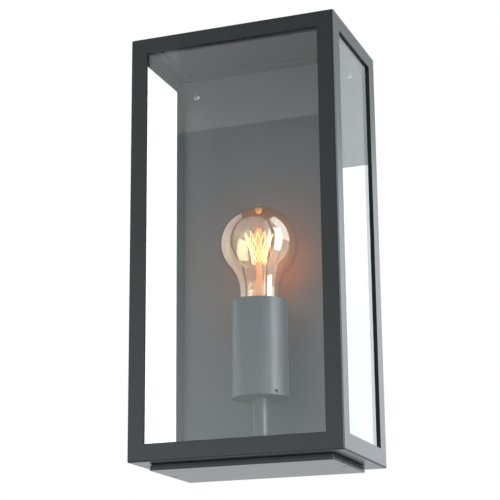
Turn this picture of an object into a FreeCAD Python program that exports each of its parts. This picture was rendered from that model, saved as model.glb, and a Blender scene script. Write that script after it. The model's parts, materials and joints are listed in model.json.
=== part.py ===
"""Glazed box wall lantern with an E27 lamp on a bent arm.

Millimetres. +X is to the right of someone facing the wall, +Y points into the wall and +Z is up.
The origin is the middle of the four wall fixings, on the wall's surface.
"""
import FreeCAD, Part
import math
import os

V = FreeCAD.Vector

# ---- overall size -------------------------------------------------------------------------------
height = 330.0            # cage, top of the roof to the underside of the bottom frame
width = 165.0             # cage, side to side
depth = 107.0             # wall surface to the front of the cage

# ---- cage of folded sheet ------------------------------------------------------------------------
sheet = 1.2               # sheet thickness of the cage and of the back plate
bend_radius = 1.6         # outside radius of the upright folds
rim_radius = 1.2          # outside radius round the top of the roof and the foot of the bottom frame
front_stile = 13.2        # face width of a front stile
side_front_stile = 13.8   # width of the same corner post seen from the side
side_rear_stile = 13.7    # face width of a rear post, seen from the side
top_rail = 12.0           # height of the roof's folded rim
bottom_rail = 13.1        # height of the bottom frame's rim
wall_gap = 0.5            # air between the cage's rear edges and the wall
bottom_flange_side = 20.0   # inward flange of the bottom frame, from the cage's outer side
bottom_flange_front = 21.0  # the same flange along the front
bottom_flange_rear = 23.0   # the same flange along the wall
roof_flange = 10.0        # width of the stiffening flange under the roof

# ---- glazing --------------------------------------------------------------------------------------
glass = 3.0               # pane thickness
front_tape = 1.0          # foam tape between the front posts and the front pane
side_tape = 0.4           # thin tape between the side posts and a side pane
pane_play = 0.5           # air at a pane's edges
channel_grip = 7.0        # how far a rear glass channel laps the side pane behind the rear post
channel_lip = 11.0        # how far a rear glass channel reaches in front of the back plate
channel_sheet = 1.3       # sheet thickness of the rear glass channels
channel_notch = 9.0       # depth of the roof flange's notch for a channel
bead = 8.0                # leg of the glazing beads on the bottom flange
bead_sheet = 1.0          # thickness of the glazing beads

# ---- back plate and wall straps -------------------------------------------------------------------
pan_depth = 15.0          # wall surface to the front of the back plate
pan_rear_gap = 3.5        # wall surface to the rear edge of the back plate's rim
slide_gap = 0.4           # air between the sliding cage and the back plate
pan_fold = 1.2            # outside radius of the back plate's folds
strap_height = 20.0       # wall strap
strap_sheet = 1.5         # sheet thickness of the wall straps
fixing_from_end = 17.0    # wall fixings to the top and to the underside of the cage
fixing_spacing_x = 80.0   # wall fixings, side to side
slot_width = 5.0          # slots in the wall straps
slot_length = 14.0
body_screw_in = 11.4      # screws that hold the back plate to the straps, from the plate's edge
body_screw_length = 9.0
body_bush_radius = 4.0    # threaded bushes on the wall straps
gasket_width = 6.0        # foam strip against the wall
gasket_play = 0.5         # air between the foam strip and a strap

# ---- bottom cover ----------------------------------------------------------------------------------
cover_inset_side = 11.8   # cover's edge to the cage's outer side
cover_inset_front = 13.2  # cover's edge to the cage's front
cover_rear = 16.6         # cover's rear edge to the wall surface
seal_thickness = 0.8      # rubber seal above the cover
seal_width = 4.5
seal_inset = 1.2          # seal's edge to the cover's edge
cover_liner = 1.6         # upper plate of the cover
cover_floor = 1.2         # sheet of the lower tray
cover_total = 4.6         # whole depth under the cage, seal included
cover_groove = (0.8, 0.6)   # depth and height of the rebate between the two plates of the cover
cover_edge = 0.5          # rounding of the tray's lower edge
cover_corner = 2.0        # corner radius of the cover

# ---- lamp ------------------------------------------------------------------------------------------
lamp_foot = 93.5          # solder foot above the underside of the cage
lamp_radius = 30.0        # round head of the envelope
lamp_to_plate = 2.0       # air between the head and the back plate
lamp_wall = 0.7           # glass thickness
neck_radius = 15.5
shoulder_drop = 8.0       # bottom of the head to the start of the straight neck
neck_length = 8.0         # straight neck
seat_drop = 6.0           # end of the straight neck to the top of the cap
pip_height = 3.4          # sealing tip above the head
pip_foot = 3.0            # radius of the tip where it leaves the head
pip_end = 1.1             # radius of its rounded end
pip_sink = 1.4            # how far the tip starts below the top of the head
cap_radius = 13.1         # E27 cap, plain part
cap_crest = 0.35          # how far the thread stands out
cap_pitch = 3.6           # spacing of the thread turns
cap_length = 20.0
cap_wall = 0.5
cap_plain = 2.0           # plain band above the thread
cement = 0.1              # gap between the glass and the cap
glass_in_cap = 6.0        # how far the glass reaches into the cap
foot_height = 5.0         # black insulator and solder foot under the cap
foot_radius = 4.5
foot_thickness = 1.2
hooks_up = 11.5           # upper filament hooks above the centre of the head
hooks_down = 14.5         # lower filament hooks below the centre
hooks_top_radius = 12.7   # ring of filament turns at the upper hooks
hooks_low_radius = 10.0   # the same at the lower hooks
hook_wire = 0.2           # radius
filament_loops = 12
filament_wire = 0.22      # radius
filament_turn = 0.35      # bend radius of the filament over a hook
filament_tail = 0.15      # end of the filament beside its missing hook, in parts of a loop
lead_wire = 0.3           # radius
lead_foot = 14.0          # foot of the lead wires above the flare
stem_radius = 2.3
stem_tip = 1.8            # stem above the upper hooks
stem_bead = 2.0           # length of the swelling under the upper hooks
flare_up = 2.0            # flare above the end of the glass
flare_gap = 0.2           # air between the flare and the neck
flare_shape = ((6.0, 4.0), (4.5, 16.0))  # radius and height of the flare's waist
flare_height = 20.0

# ---- arm and lampholder ----------------------------------------------------------------------------
arm_radius = 6.0          # outside of the arm tube
arm_wall = 0.95
arm_bend = 14.0           # bend radius on the tube's centre line
flange_margin = 3.5       # disc round the arm on the back plate, beyond the tube
flange_thickness = 2.0
flange_edge = 0.8         # rounding of the disc
flange_to_frame = 1.3     # air between the disc and the bottom frame
nipple_radius = 5.0       # M10 x 1 threaded nipples
nipple_bore = 3.6
nipple_grip = 8.0         # length of nipple inside the tube
nipple_end = 0.5          # nipple beyond its nut
m10_nut = 14.0            # across flats
m10_play = 0.1            # radial clearance of a nipple in a hole
thin_nut = 3.0
washer_radius = 8.0
washer_thickness = 0.8
cup_bottom = 50.6         # underside of the lampholder cup above the underside of the cage
cup_height = 74.7
cup_radius = 21.5
cup_wall = 1.0
cup_edge = 0.7            # rounding round the floor
cup_nut_height = 4.0
drain_hole = 1.5          # radius of the drain hole low in the cup's wall
drain_up = 0.4            # hole's edge above the cup's floor
drain_angle = 53.0        # degrees from the front towards +X
yoke_sheet = 1.5          # strip that carries the lampholder
yoke_half = 15.0
yoke_width = 13.0
yoke_screw_x = 11.5
yoke_grip = 7.0           # screws' reach into the lampholder
yoke_head = 1.8           # height of the screws' heads
yoke_head_radius = 2.8
holder_gap = 2.0          # air between the lampholder and the cup
holder_bottom = 70.0      # above the underside of the cage
holder_length = 47.0
holder_foot = (3.0, 6.0)  # chamfer round the lampholder's foot, across and up
holder_rim = 1.5          # chamfer round its mouth
shell_play = 0.45         # air between the lamp's thread and the screw shell
shell_wall = 0.6
shell_up = 4.5            # screw shell above the seat's floor
contact_gap = 0.3         # air between the lamp's foot and the centre contact
contact_reach = 3.0       # height of the centre contact
contact_radius = 3.0
contact_plate = 6.0       # radius of the contact's plate
contact_sheet = 0.8

# ---- fasteners -------------------------------------------------------------------------------------
m3 = 1.5                  # radius
m4 = 2.0
hole_play = 0.25          # radial clearance of a screw in its hole
thread_play = 0.05        # radial clearance of a screw in its thread
stud_play = 0.1           # radial clearance of the earth stud in its tag
pan_head_radius = 2.8
pan_head_height = 2.0
pan_head_curve = 1.1      # rounding of the head's edge
cross = (1.6, 0.35, 0.9)  # half length, half width and depth of a cross recess
button_radius = 3.8       # M4 button head under the cage
button_height = 2.2
button_curve = 1.2
socket = (2.5, 1.2)       # across flats and depth of its hexagon socket
m4_nut = 7.0              # across flats
m4_nut_height = 3.2
nut_air = (1.3, 4.0)      # room round and above a cage nut
screw_end = 0.8           # cage screw above its nut
cage_screw_in = 27.5      # screws under the rear edge of the cage, from the cage's outer side
cage_screw_y = 8.5        # the same, from the wall
cover_screw_in = 16.0     # cover screws, from the cage's outer side
sink_radius = 2.9         # countersink under the cover
sink_depth = 1.4
sink_play = 0.05          # air round a countersunk head
sink_cross = (1.5, 0.3, 0.9)
sink_boss = 3.6           # radius of the boss round a cover screw
cover_screw_up = 5.0      # cover screw above the bottom flange
rivet_wall = 1.2          # rivet nuts that take the cover screws
rivet_collar = (1.2, 1.0)   # how far the collar reaches out, and its thickness
rivet_up = 5.5
rivet_air = 1.5           # room round a rivet nut in the glazing beads

# ---- wiring ----------------------------------------------------------------------------------------
terminal_half = 15.0      # terminal block
terminal_up = 60.0        # its underside above the underside of the cage
terminal_height = 18.0
terminal_rear = 2.5       # its rear to the wall
terminal_screw_in = 4.5   # its screws from its top and from its underside
terminal_screw = (2.5, 0.6)   # screw's depth in the block, and how far its head lies below the surface
terminal_entry = 5.0      # depth of the wire entries
poles = (-10.0, 0.0, 10.0)
wire_radius = 1.2         # outside of the insulation
entry_play = 0.2          # air round a wire in its entry
wire_to_wall = 4.7        # wires behind the back plate, from the wall
wire_step = 3.0           # how much further forward they enter the terminal block
wire_offset = 1.5         # each wire's distance from the middle of the arm
wire_run = (8.0, 18.0, 16.0)   # straight parts under the block, down to the slant, and above the arm
wire_bends = (6.0, 6.0, 8.0, 4.0)
earth_x = 30.0            # earth stud, right of the middle
earth_up = 62.0           # above the underside of the cage
earth_length = 8.0        # stud behind the back plate
tag_sheet = 0.8
tag_radius = 4.5
tag_tail = (1.6, 12.0, 4.0)   # half width, and how far below the stud the tail ends and starts

# ---- places worked out from the sizes above --------------------------------------------------------
bottom = -height / 2
top = height / 2
half = width / 2
front = -depth
rear = -wall_gap
sight_bottom = bottom + bottom_rail
sight_top = top - top_rail
pane_bottom = bottom + sheet + pane_play
pane_top = top - sheet - pane_play
front_pane_y = front + sheet + front_tape
front_pane_back = front_pane_y + glass
side_pane_x = half - sheet - side_tape
side_pane_in = side_pane_x - glass
channel_web = rear - side_rear_stile + channel_grip
side_pane_front = front_pane_back + pane_play
side_pane_rear = channel_web - pane_play
pan_front = -pan_depth
pan_inside = pan_front + sheet
pan_half = side_pane_in - channel_sheet - slide_gap
pan_bottom = bottom + sheet + slide_gap
pan_top = top - 2 * sheet - slide_gap
fixing_z = height / 2 - fixing_from_end
body_screw_x = pan_half - body_screw_in
strap_half = body_screw_x + strap_height / 2
lamp_y = -(pan_depth + lamp_to_plate + lamp_radius)
flange_radius = arm_radius + flange_margin
arm_z = bottom + sheet + flange_to_frame + flange_radius
foot_low = bottom + lamp_foot
cap_low = foot_low + foot_height
cap_high = cap_low + cap_length
neck_top = lamp_radius + shoulder_drop
neck_bottom = neck_top + neck_length
centre_z = cap_high + seat_drop + neck_bottom
glass_neck = cap_radius - cap_wall - cement
glass_end = cap_high - glass_in_cap
cup_z = bottom + cup_bottom
bead_floor = bottom + sheet
cover_top = bottom - seal_thickness
cover_bottom = bottom - cover_total
cage_screw_x = half - cage_screw_in
cover_screw_x = half - cover_screw_in
cover_screw_y = (front + cover_inset_front - cover_rear) / 2
rivet_radius = m3 + rivet_wall
far = 1.0                 # how far a cutting shape runs past the piece it cuts

os.makedirs("parts", exist_ok=True)


# ---- shapes used throughout ------------------------------------------------------------------------
def block(x0, x1, y0, y1, z0, z1):
    """Rectangular block between two corners."""
    return Part.makeBox(x1 - x0, y1 - y0, z1 - z0, V(x0, y0, z0))


def rod(radius, start, end):
    """Round bar between two points."""
    axis = V(*end) - V(*start)
    return Part.makeCylinder(radius, axis.Length, V(*start), axis)


def rod_y(radius, x, z, y0, y1):
    """Round bar square to the wall."""
    return rod(radius, (x, y0, z), (x, y1, z))


def rod_z(radius, x, y, z0, z1):
    """Upright round bar."""
    return rod(radius, (x, y, z0), (x, y, z1))


def tube_y(outer, inner, x, z, y0, y1):
    """Round tube square to the wall."""
    return rod_y(outer, x, z, y0, y1).cut(rod_y(inner, x, z, y0 - far, y1 + far))


def tube_z(outer, inner, x, y, z0, z1):
    """Upright round tube."""
    return rod_z(outer, x, y, z0, z1).cut(rod_z(inner, x, y, z0 - far, z1 + far))


def hexagon(across_flats, start, end):
    """Six-sided bar between two points, with two flats parallel to X."""
    axis = V(*end) - V(*start)
    side = V(1, 0, 0)
    up = axis.cross(side).normalize()
    reach = across_flats / math.sqrt(3)
    turns = [math.radians(60 * k) for k in range(7)]
    points = [V(*start) + side * (reach * math.cos(a)) + up * (reach * math.sin(a)) for a in turns]
    return Part.Face(Part.makePolygon(points)).extrude(axis)


def turned(profile):
    """Solid turned about the lamp's upright axis from (radius, height) points."""
    points = [V(r, lamp_y, h) for r, h in profile]
    face = Part.Face(Part.makePolygon(points + [points[0]]))
    return face.revolve(V(0, lamp_y, 0), V(0, 0, 1), 360)


def upright_edges(shape, corners):
    """Vertical edges of a shape that pass through the given (x, y) corners."""
    found = []
    for edge in shape.Edges:
        a, b = edge.Vertexes[0].Point, edge.Vertexes[-1].Point
        if abs(a.x - b.x) + abs(a.y - b.y) > 1e-6:
            continue
        if any(abs(a.x - x) + abs(a.y - y) < 1e-6 for x, y in corners):
            found.append(edge)
    return found


def level_edges(shape, z):
    """Edges of a folded piece that lie at one height, except along the wall."""
    return [edge for edge in shape.Edges
            if abs(edge.BoundBox.ZMin - z) < 1e-6 and abs(edge.BoundBox.ZMax - z) < 1e-6
            and edge.BoundBox.YMin < rear - 1e-6]


def mirrored(shape):
    """The same piece on the other side of the middle."""
    return shape.mirror(V(0, 0, 0), V(1, 0, 0))


def both_sides(shape):
    """A piece and its mirror image as separate solids."""
    return Part.makeCompound([shape, mirrored(shape)])


def cut_both(shape, cutter):
    """A piece less a cutting shape and less its mirror image."""
    return shape.cut(cutter).cut(mirrored(cutter))


def swept(points, bends, radius):
    """Round wire or bar along straight runs joined by tangent arcs at the inner points."""
    edges = []
    start = V(*points[0])
    for k in range(1, len(points) - 1):
        corner = V(*points[k])
        back = (V(*points[k - 1]) - corner).normalize()
        on = (V(*points[k + 1]) - corner).normalize()
        turn = math.pi - back.getAngle(on)
        reach = bends[k - 1] * math.tan(turn / 2)
        first, last = corner + back * reach, corner + on * reach
        to_middle = (back + on).normalize()
        middle = corner + to_middle * (bends[k - 1] / math.cos(turn / 2) - bends[k - 1])
        edges.append(Part.LineSegment(start, first).toShape())
        edges.append(Part.Arc(first, middle, last).toShape())
        start = last
    edges.append(Part.LineSegment(start, V(*points[-1])).toShape())
    path = Part.Wire(edges)
    heading = V(*points[1]) - V(*points[0])
    ring = Part.Wire(Part.makeCircle(radius, V(*points[0]), heading))
    return path.makePipeShell([ring], True, True)


def save(name, shape):
    """Write one sub-part."""
    if shape.ShapeType != "Compound":
        shape = shape.removeSplitter()
    shape.exportStep("parts/" + name + ".step")


# ---- roof: folded cap with a rim on three sides, open towards the wall -----------------------------
front_corners = [(-half, front), (half, front)]
roof = block(-half, half, front, rear, sight_top, top)
roof = roof.makeFillet(bend_radius, upright_edges(roof, front_corners))
roof = roof.makeFillet(rim_radius, level_edges(roof, top))
roof_room = block(-half + sheet, half - sheet, front + sheet, rear + far, sight_top - far, top - sheet)
save("roof", roof.cut(roof_room))

# Stiffening flange under the roof, which also holds the tops of the panes from inside.
ring_top = top - sheet
roof_ring = block(-side_pane_in, side_pane_in, front_pane_back, pan_inside, ring_top - sheet, ring_top)
roof_ring = roof_ring.cut(block(-side_pane_in + roof_flange, side_pane_in - roof_flange,
                                front_pane_back + roof_flange, pan_front - roof_flange,
                                ring_top - sheet - far, ring_top + far))
channel_room = block(side_pane_in - channel_sheet, half, pan_front - channel_lip, 0,
                     ring_top - channel_notch, ring_top + far)
save("roof_flange", cut_both(roof_ring, channel_room))

# ---- corner posts ----------------------------------------------------------------------------------
post = block(-half, -half + front_stile, front, front + side_front_stile, sight_bottom, sight_top)
post = post.makeFillet(bend_radius, upright_edges(post, [(-half, front)]))
post = post.cut(block(-half + sheet, half, front + sheet, 0, sight_bottom - far, sight_top + far))
save("front_left_post", post)
save("front_right_post", mirrored(post))

rear_post = block(-half, -half + sheet, rear - side_rear_stile, rear, sight_bottom, sight_top)
save("rear_left_post", rear_post)
save("rear_right_post", mirrored(rear_post))

# Rear glass channels: an angle welded inside each rear post, round the rear edge of the side pane.
channel = block(-half + sheet, -side_pane_in + channel_sheet, channel_web, channel_web + channel_sheet,
                pane_bottom, pane_top)
channel = channel.fuse(block(-side_pane_in, -side_pane_in + channel_sheet, pan_front - channel_lip,
                             channel_web, pane_bottom, pane_top))
save("left_glass_channel", channel)
save("right_glass_channel", mirrored(channel))

# ---- bottom frame: folded rim on three sides with an inward flange all round -----------------------
frame = block(-half, half, front, rear, bottom, sight_bottom)
frame = frame.makeFillet(bend_radius, upright_edges(frame, front_corners))
frame = frame.makeFillet(rim_radius, level_edges(frame, bottom))
frame = frame.cut(block(-half + sheet, half - sheet, front + sheet, rear + far, bottom + sheet,
                        sight_bottom + far))
frame = frame.cut(block(-half + bottom_flange_side, half - bottom_flange_side, front + bottom_flange_front,
                        -bottom_flange_rear, bottom - far, bottom + sheet + far))
frame = cut_both(frame, rod_z(m4 + hole_play, cage_screw_x, -cage_screw_y, bottom - far, bead_floor + far))
frame = cut_both(frame, rod_z(rivet_radius, cover_screw_x, cover_screw_y, bottom - far, bead_floor + far))
save("bottom_frame", frame)

# ---- panes -----------------------------------------------------------------------------------------
pane_half = half - sheet - pane_play
save("front_glass", block(-pane_half, pane_half, front_pane_y, front_pane_back, pane_bottom, pane_top))
side_pane = block(-side_pane_x, -side_pane_in, side_pane_front, side_pane_rear, pane_bottom, pane_top)
save("left_glass", side_pane)
save("right_glass", mirrored(side_pane))

# Foam tape: a ring between each pane and the metal, as wide as the metal hides.
front_ring = block(-half + sheet, half - sheet, front + sheet, front_pane_y, pane_bottom, pane_top)
front_window = block(-half + front_stile, half - front_stile, front, front_pane_back, sight_bottom, sight_top)
save("front_tape", front_ring.cut(front_window))
side_ring = block(-half + sheet, -side_pane_x, side_pane_front, side_pane_rear, pane_bottom, pane_top)
side_window = block(-half, -side_pane_in, front + side_front_stile, rear - side_rear_stile,
                    sight_bottom, sight_top)
save("side_tapes", both_sides(side_ring.cut(side_window)))

# Glazing beads: angles on the bottom flange that hold the lower edges of the panes.
bead_over = bead_floor + bead
bead_end = side_pane_in - bead - pane_play
bead_rear = pan_front - channel_lip - pane_play
front_bead = block(-bead_end, bead_end, front_pane_back, front_pane_back + bead, bead_floor, bead_over)
front_bead = front_bead.cut(block(-bead_end - far, bead_end + far, front_pane_back + bead_sheet,
                                  front_pane_back + bead + far, bead_floor + bead_sheet, bead_over + far))
side_bead = block(-side_pane_in, -side_pane_in + bead, side_pane_front, bead_rear, bead_floor, bead_over)
side_bead = side_bead.cut(block(-side_pane_in + bead_sheet, 0, front, rear, bead_floor + bead_sheet,
                                bead_over + far))
side_bead = side_bead.cut(rod_z(rivet_radius + rivet_air, -cover_screw_x, cover_screw_y, bottom, top))
save("glazing_beads", Part.makeCompound([front_bead, side_bead, mirrored(side_bead)]))

# ---- back plate: shallow pan on the wall side, with its rim towards the wall -----------------------
pan = block(-pan_half, pan_half, pan_front, -pan_rear_gap, pan_bottom, pan_top)
pan = pan.makeFillet(pan_fold, [edge for edge in pan.Edges if edge.BoundBox.YMax < pan_front + 1e-6])
pan = pan.cut(block(-pan_half + sheet, pan_half - sheet, pan_inside, 0, pan_bottom + sheet, pan_top - sheet))
corners = [(x, z) for x in (-body_screw_x, body_screw_x) for z in (-fixing_z, fixing_z)]
for x, z in corners:
    pan = pan.cut(rod_y(m3 + hole_play, x, z, pan_front - far, pan_inside + far))
pan = pan.cut(rod_y(nipple_radius + m10_play, 0, arm_z, pan_front - far, pan_inside + far))

# Open slots that the cage screws slide out of, with room in front for their nuts.
slot_half = m4 + 2 * hole_play
nut_side, nut_over = nut_air
nut_reach = m4_nut / 2 + nut_side
pan = cut_both(pan, block(cage_screw_x - slot_half, cage_screw_x + slot_half, pan_front - far,
                          -cage_screw_y + slot_half, pan_bottom - far, pan_bottom + sheet + far))
pan = cut_both(pan, block(cage_screw_x - nut_reach, cage_screw_x + nut_reach, pan_front - far,
                          pan_inside + pane_play, pan_bottom - far,
                          pan_bottom + sheet + m4_nut_height + nut_over))
save("back_plate", pan)


def pan_head(x, z):
    """Domed screw with a cross recess, through the back plate and into its bush."""
    head_front = pan_front - pan_head_height
    head = rod_y(pan_head_radius, x, z, head_front, pan_front)
    rim = [edge for edge in head.Edges if edge.BoundBox.YMax < head_front + 1e-6]
    head = head.makeFillet(pan_head_curve, rim)
    reach, slit, deep = cross
    recess = block(x - reach, x + reach, head_front, head_front + deep, z - slit, z + slit)
    recess = recess.fuse(block(x - slit, x + slit, head_front, head_front + deep, z - reach, z + reach))
    return head.fuse(rod_y(m3, x, z, pan_front, pan_front + body_screw_length)).cut(recess)


save("back_plate_screws", Part.makeCompound([pan_head(x, z) for x, z in corners]))
save("strap_bushes", Part.makeCompound(
    [tube_y(body_bush_radius, m3 + thread_play, x, z, pan_inside, -strap_sheet) for x, z in corners]))


def strap(z):
    """One wall strap with two slots for the wall screws."""
    plate = block(-strap_half, strap_half, -strap_sheet, 0, z - strap_height / 2, z + strap_height / 2)
    inset = slot_length / 2 - slot_width / 2
    for x in (-fixing_spacing_x / 2, fixing_spacing_x / 2):
        slot = block(x - inset, x + inset, -strap_sheet - far, far, z - slot_width / 2, z + slot_width / 2)
        for end in (x - inset, x + inset):
            slot = slot.fuse(rod_y(slot_width / 2, end, z, -strap_sheet - far, far))
        plate = plate.cut(slot)
    return plate


save("upper_wall_strap", strap(fixing_z))
save("lower_wall_strap", strap(-fixing_z))

# Foam strip between the rim of the back plate and the wall, notched over the straps.
gasket = block(-pan_half, pan_half, -pan_rear_gap, 0, pan_bottom, pan_top)
gasket = gasket.cut(block(-pan_half + gasket_width, pan_half - gasket_width, -depth, far,
                          pan_bottom + gasket_width, pan_top - gasket_width))
strap_room = strap_height / 2 + gasket_play
for z in (-fixing_z, fixing_z):
    gasket = gasket.cut(block(-strap_half - gasket_play, strap_half + gasket_play, -strap_sheet, far,
                              z - strap_room, z + strap_room))
save("wall_gasket", gasket)

# Cage screws: button heads under the rear edge, square nuts above the open slots of the back plate.
nut_low = pan_bottom + sheet + slide_gap
screw_top = nut_low + m4_nut_height + screw_end


def cage_screw(x):
    """Button head screw under the cage with a hexagon socket."""
    head_low = bottom - button_height
    flats, deep = socket
    head = rod_z(button_radius, x, -cage_screw_y, head_low, bottom)
    rim = [edge for edge in head.Edges if edge.BoundBox.ZMax < head_low + 1e-6]
    head = head.makeFillet(button_curve, rim)
    recess = hexagon(flats, (x, -cage_screw_y, head_low - far), (x, -cage_screw_y, head_low + deep))
    return head.fuse(rod_z(m4, x, -cage_screw_y, bottom, screw_top)).cut(recess)


def cage_nut(x):
    """Square nut on a cage screw."""
    nut = block(x - m4_nut / 2, x + m4_nut / 2, -cage_screw_y - m4_nut / 2, -cage_screw_y + m4_nut / 2,
                nut_low, nut_low + m4_nut_height)
    return nut.cut(rod_z(m4 + thread_play, x, -cage_screw_y, nut_low - far, screw_top + far))


save("left_cage_screw", cage_screw(-cage_screw_x))
save("right_cage_screw", cage_screw(cage_screw_x))
save("cage_nuts", Part.makeCompound([cage_nut(-cage_screw_x), cage_nut(cage_screw_x)]))


# ---- bottom cover: closes the hole through which the lamp is changed -------------------------------
def cover_slab(inset, z0, z1):
    """Plate of the cover's outline, drawn in by an inset, with rounded corners while they last."""
    x = half - cover_inset_side - inset
    y0 = front + cover_inset_front + inset
    y1 = -cover_rear - inset
    slab = block(-x, x, y0, y1, z0, z1)
    if inset < cover_corner:
        corner_lines = upright_edges(slab, [(-x, y0), (x, y0), (-x, y1), (x, y1)])
        slab = slab.makeFillet(cover_corner - inset, corner_lines)
    return slab


tray_top = cover_top - cover_liner
tray = cover_slab(0, cover_bottom, tray_top)
tray = tray.makeFillet(cover_edge, [edge for edge in tray.Edges if edge.BoundBox.ZMax < cover_bottom + 1e-6])
tray = tray.cut(cover_slab(cover_floor, cover_bottom + cover_floor, tray_top + far))
groove_deep, groove_high = cover_groove
liner = cover_slab(groove_deep, tray_top, tray_top + groove_high)
liner = liner.fuse(cover_slab(0, tray_top + groove_high, cover_top))
sink_hole = m3 + hole_play
countersink = Part.makeCone(sink_radius, sink_hole, sink_depth, V(cover_screw_x, cover_screw_y, cover_bottom))
cover_bore = rod_z(sink_hole, cover_screw_x, cover_screw_y, cover_bottom - far, top)
boss = rod_z(sink_boss, cover_screw_x, cover_screw_y, cover_bottom + cover_floor, tray_top)
tray = tray.fuse(boss).fuse(mirrored(boss))
tray = cut_both(cut_both(tray, countersink), cover_bore)
save("bottom_cover", tray)
save("cover_liner", cut_both(liner, cover_bore))

seal = cover_slab(seal_inset, cover_top, bottom)
seal = seal.cut(cover_slab(seal_inset + seal_width, cover_top - far, bottom + far))
save("cover_seal", cut_both(seal, cover_bore))


def cover_screw(x):
    """Countersunk screw with a cross recess, flush with the underside of the cover."""
    start = cover_bottom + sink_play
    reach, slit, deep = sink_cross
    y = cover_screw_y
    head = Part.makeCone(sink_radius - 2 * sink_play, m3, sink_depth - sink_play, V(x, y, start))
    shank = rod_z(m3, x, y, start, bottom + sheet + cover_screw_up)
    recess = block(x - reach, x + reach, y - slit, y + slit, start - far, start + deep)
    recess = recess.fuse(block(x - slit, x + slit, y - reach, y + reach, start - far, start + deep))
    return head.fuse(shank).cut(recess)


save("left_cover_screw", cover_screw(-cover_screw_x))
save("right_cover_screw", cover_screw(cover_screw_x))

# Rivet nuts in the bottom frame that take the cover screws.
collar_reach, collar_sheet = rivet_collar
rivet_top = bottom + sheet + rivet_up
rivet = rod_z(rivet_radius, cover_screw_x, cover_screw_y, bottom, rivet_top)
collar = rod_z(rivet_radius + collar_reach, cover_screw_x, cover_screw_y, bottom + sheet,
               bottom + sheet + collar_sheet)
rivet_thread = rod_z(m3 + thread_play, cover_screw_x, cover_screw_y, bottom - far, rivet_top + far)
save("cover_rivet_nuts", both_sides(rivet.fuse(collar).cut(rivet_thread)))

# ---- arm: tube bent from the back plate up to the cup ----------------------------------------------
arm_path = [(0, pan_front, arm_z), (0, lamp_y, arm_z), (0, lamp_y, cup_z)]
arm = swept(arm_path, [arm_bend], arm_radius)
save("lamp_arm", arm.cut(swept(arm_path, [arm_bend], arm_radius - arm_wall)))
disc = tube_y(flange_radius, arm_radius + thread_play, 0, arm_z, pan_front - flange_thickness, pan_front)
disc_rim = [edge for edge in disc.Edges
            if edge.BoundBox.YMax < pan_front - flange_thickness + 1e-6
            and edge.BoundBox.XLength > flange_radius + arm_radius]
save("arm_flange", disc.makeFillet(flange_edge, disc_rim))

washer_end = pan_inside + washer_thickness
arm_nut_end = washer_end + thin_nut
rear_nipple = tube_y(nipple_radius, nipple_bore, 0, arm_z, pan_front - nipple_grip, arm_nut_end + nipple_end)
save("rear_nipple", rear_nipple)
save("arm_washer", tube_y(washer_radius, nipple_radius + m10_play, 0, arm_z, pan_inside, washer_end))
arm_nut = hexagon(m10_nut, (0, washer_end, arm_z), (0, arm_nut_end, arm_z))
m10_thread = nipple_radius + thread_play
save("arm_nut", arm_nut.cut(rod_y(m10_thread, 0, arm_z, washer_end - far, arm_nut_end + far)))

# ---- lampholder cup and what it holds --------------------------------------------------------------
cup = rod_z(cup_radius, 0, lamp_y, cup_z, cup_z + cup_height)
cup_rim = [edge for edge in cup.Edges if edge.BoundBox.ZMax < cup_z + 1e-6]
cup = cup.makeFillet(cup_edge, cup_rim)
cup_floor = cup_z + cup_wall
cup = cup.cut(rod_z(cup_radius - cup_wall, 0, lamp_y, cup_floor, cup_z + cup_height + far))
cup = cup.cut(rod_z(nipple_radius + m10_play, 0, lamp_y, cup_z - far, cup_floor + far))
drain = V(math.sin(math.radians(drain_angle)), -math.cos(math.radians(drain_angle)), 0)
drain_from = V(0, lamp_y, cup_floor + drain_hole + drain_up) + drain * (cup_radius - cup_wall - far)
cup = cup.cut(Part.makeCylinder(drain_hole, cup_wall + 2 * far, drain_from, drain))
save("lampholder_cup", cup)

yoke_z = cup_floor + cup_nut_height
yoke_top = yoke_z + yoke_sheet
cup_nut = hexagon(m10_nut, (0, lamp_y, cup_floor), (0, lamp_y, yoke_z))
save("cup_nut", cup_nut.cut(rod_z(m10_thread, 0, lamp_y, cup_floor - far, yoke_z + far)))
save("cup_nipple", tube_z(nipple_radius, nipple_bore, 0, lamp_y, cup_z - nipple_grip, yoke_top))

# Strip screwed under the lampholder, with a sleeve round each screw.
holder_low = bottom + holder_bottom
holder_high = holder_low + holder_length
yoke = block(-yoke_half, yoke_half, lamp_y - yoke_width / 2, lamp_y + yoke_width / 2, yoke_z, yoke_top)
yoke = yoke.cut(rod_z(m10_thread, 0, lamp_y, yoke_z - far, yoke_top + far))
yoke = cut_both(yoke, rod_z(m3 + hole_play, yoke_screw_x, lamp_y, yoke_z - far, yoke_top + far))
save("holder_yoke", yoke)
holder_screw = rod_z(m3, yoke_screw_x, lamp_y, yoke_z, holder_low + yoke_grip)
holder_screw = holder_screw.fuse(rod_z(yoke_head_radius, yoke_screw_x, lamp_y, yoke_z - yoke_head, yoke_z))
save("holder_screws", both_sides(holder_screw))
spacer = tube_z(yoke_head_radius, m3 + hole_play, yoke_screw_x, lamp_y, yoke_top, holder_low)
save("holder_spacers", both_sides(spacer))

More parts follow.
